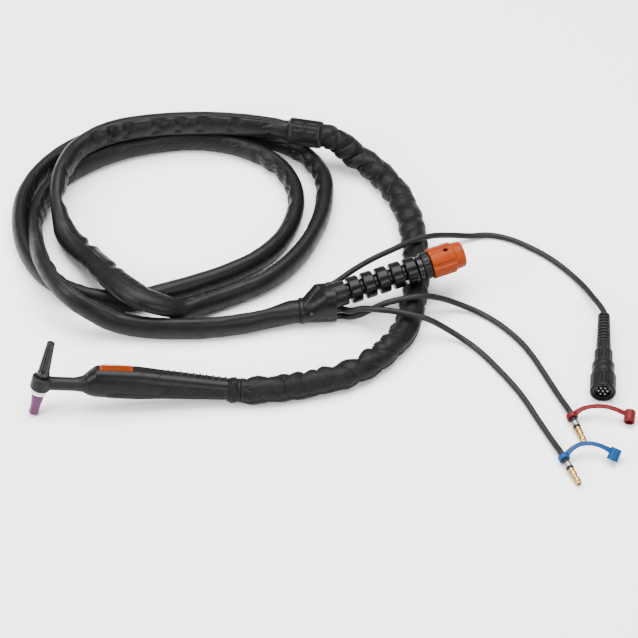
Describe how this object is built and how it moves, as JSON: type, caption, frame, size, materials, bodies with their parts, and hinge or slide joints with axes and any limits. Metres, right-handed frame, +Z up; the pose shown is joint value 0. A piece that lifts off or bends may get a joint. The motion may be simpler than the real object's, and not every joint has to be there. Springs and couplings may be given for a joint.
{
  "type": "tig torch",
  "caption": "Water-cooled TIG welding torch with trigger handle, leather sleeve and looped hose package that ends in power, control and water connectors.",
  "frame": {"origin": "middle of the torch's own box (head, handle and collar, without the hose package), on the surface it stands on", "axes": "+X from the head towards the rear of the handle, +Y away from the viewer, +Z up"},
  "size_m": [0.7587, 0.6136, 0.0928],
  "materials": {
    "black_moulding": "satin moulded",
    "black_gloss": "glossy phenolic",
    "black_rubber": "matt rubber",
    "sleeve_leather": "matt grained leather",
    "sheath_fabric": "rubberised woven fabric",
    "orange_plastic": "satin moulded",
    "ceramic": "bisque alumina",
    "white_ptfe": "smooth",
    "brass": "machined",
    "copper": "drawn",
    "steel": "zinc plated",
    "red_rubber": "moulded",
    "blue_rubber": "moulded"
  },
  "bodies": {
    "torch": {"head_cover": "black_rubber", "torch_core": "brass", "collet_body": "copper", "collet": "copper", "electrode": "steel", "insulator_ring": "white_ptfe", "handle_shell_left": "black_moulding", "handle_shell_right": "black_moulding", "switch_module": "black_moulding", "module_screw": "steel", "trigger_pin": "steel", "trigger_spring": "steel", "microswitch": "black_moulding", "power_tube": "copper", "gas_tube": "copper", "sleeve_collar": "sleeve_leather", "joint_shell_top": "black_moulding", "joint_shell_bottom": "black_moulding", "joint_screw_1": "steel", "joint_screw_2": "steel", "splitter_left": "black_moulding", "splitter_right": "black_moulding", "splitter_screw_1": "steel", "splitter_screw_2": "steel", "bend_relief": "black_rubber", "plug_body": "black_moulding", "plug_ring": "black_moulding", "plug_contact": "brass", "control_boot": "black_rubber", "control_backshell": "black_moulding", "control_body": "black_moulding", "control_insert": "black_moulding", "control_pins": "brass", "red_clamp": "steel", "red_ferrule": "black_moulding", "red_nipple": "brass", "blue_clamp": "steel", "blue_ferrule": "black_moulding", "blue_nipple": "brass", "leather_sleeve": "sleeve_leather", "hose_sheath": "sheath_fabric", "control_cable": "black_rubber", "red_hose": "black_rubber", "blue_hose": "black_rubber"},
    "trigger": {"trigger": "orange_plastic"},
    "plunger": {"switch_plunger": "white_ptfe"},
    "cap_thread": {"cap_seal": "black_rubber"},
    "cap": {"back_cap": "black_gloss"},
    "nozzle": {"gas_nozzle": "ceramic"},
    "coupling": {"coupling_ring": "black_moulding"},
    "plug_cover": {"protective_cap": "orange_plastic"},
    "red_cap": {"red_dust_cap": "red_rubber"},
    "blue_cap": {"blue_dust_cap": "blue_rubber"}
  },
  "joints": [
    {"name": "trigger_press", "type": "hinge", "parent": "torch", "child": "trigger", "pos_m": [-0.03806, 0.00541, 0.05264], "axis": [-0.0781, 0.9505, -0.3006], "range_deg": [0, 3], "stiffness_Nm_per_rad": 2, "springref_deg": -2.86, "deforming": ["trigger_spring"]},
    {"name": "plunger_push", "type": "slide", "parent": "torch", "child": "plunger", "axis": [-0.0875, -0.3069, -0.9477], "range_m": [0, 0.0016]},
    {"name": "cap_turn", "type": "hinge", "parent": "torch", "child": "cap_thread", "pos_m": [-0.1091, -0.0043, 0.0404], "axis": [0.2586, 0.3105, 0.9147], "range_deg": [0, 1095]},
    {"name": "cap_lift", "type": "slide", "parent": "cap_thread", "child": "cap", "axis": [0.2586, 0.3105, 0.9147], "range_m": [0, 0.006]},
    {"name": "nozzle_turn", "type": "hinge", "parent": "torch", "child": "nozzle", "pos_m": [-0.1091, -0.0043, 0.0404], "axis": [-0.2586, -0.3105, -0.9147], "range_deg": [0, 720]},
    {"name": "coupling_turn", "type": "hinge", "parent": "torch", "child": "coupling", "pos_m": [0.5629, 0.13, 0.0159], "axis": [-0.0837, -0.9965, 0], "range_deg": [0, 120]},
    {"name": "cover_pull", "type": "slide", "parent": "torch", "child": "plug_cover", "axis": [0.9386, 0.3268, 0.1106], "range_m": [0, 0.05]},
    {"name": "red_cap_swing", "type": "hinge", "parent": "torch", "child": "red_cap", "pos_m": [0.5144, -0.028, 0.0073], "axis": [0.3031, -0.9499, -0.0767], "range_deg": [0, 120]},
    {"name": "blue_cap_swing", "type": "hinge", "parent": "torch", "child": "blue_cap", "pos_m": [0.5009, -0.0922, 0.0073], "axis": [0.3799, -0.9218, -0.0767], "range_deg": [0, 120]}
  ],
  "couplings": [
    {"joint": "plunger_push", "follows": "trigger_press", "m_per_rad": 0.028648},
    {"joint": "cap_turn", "follows": "cap_lift", "rad_per_m": 3141.6}
  ]
}
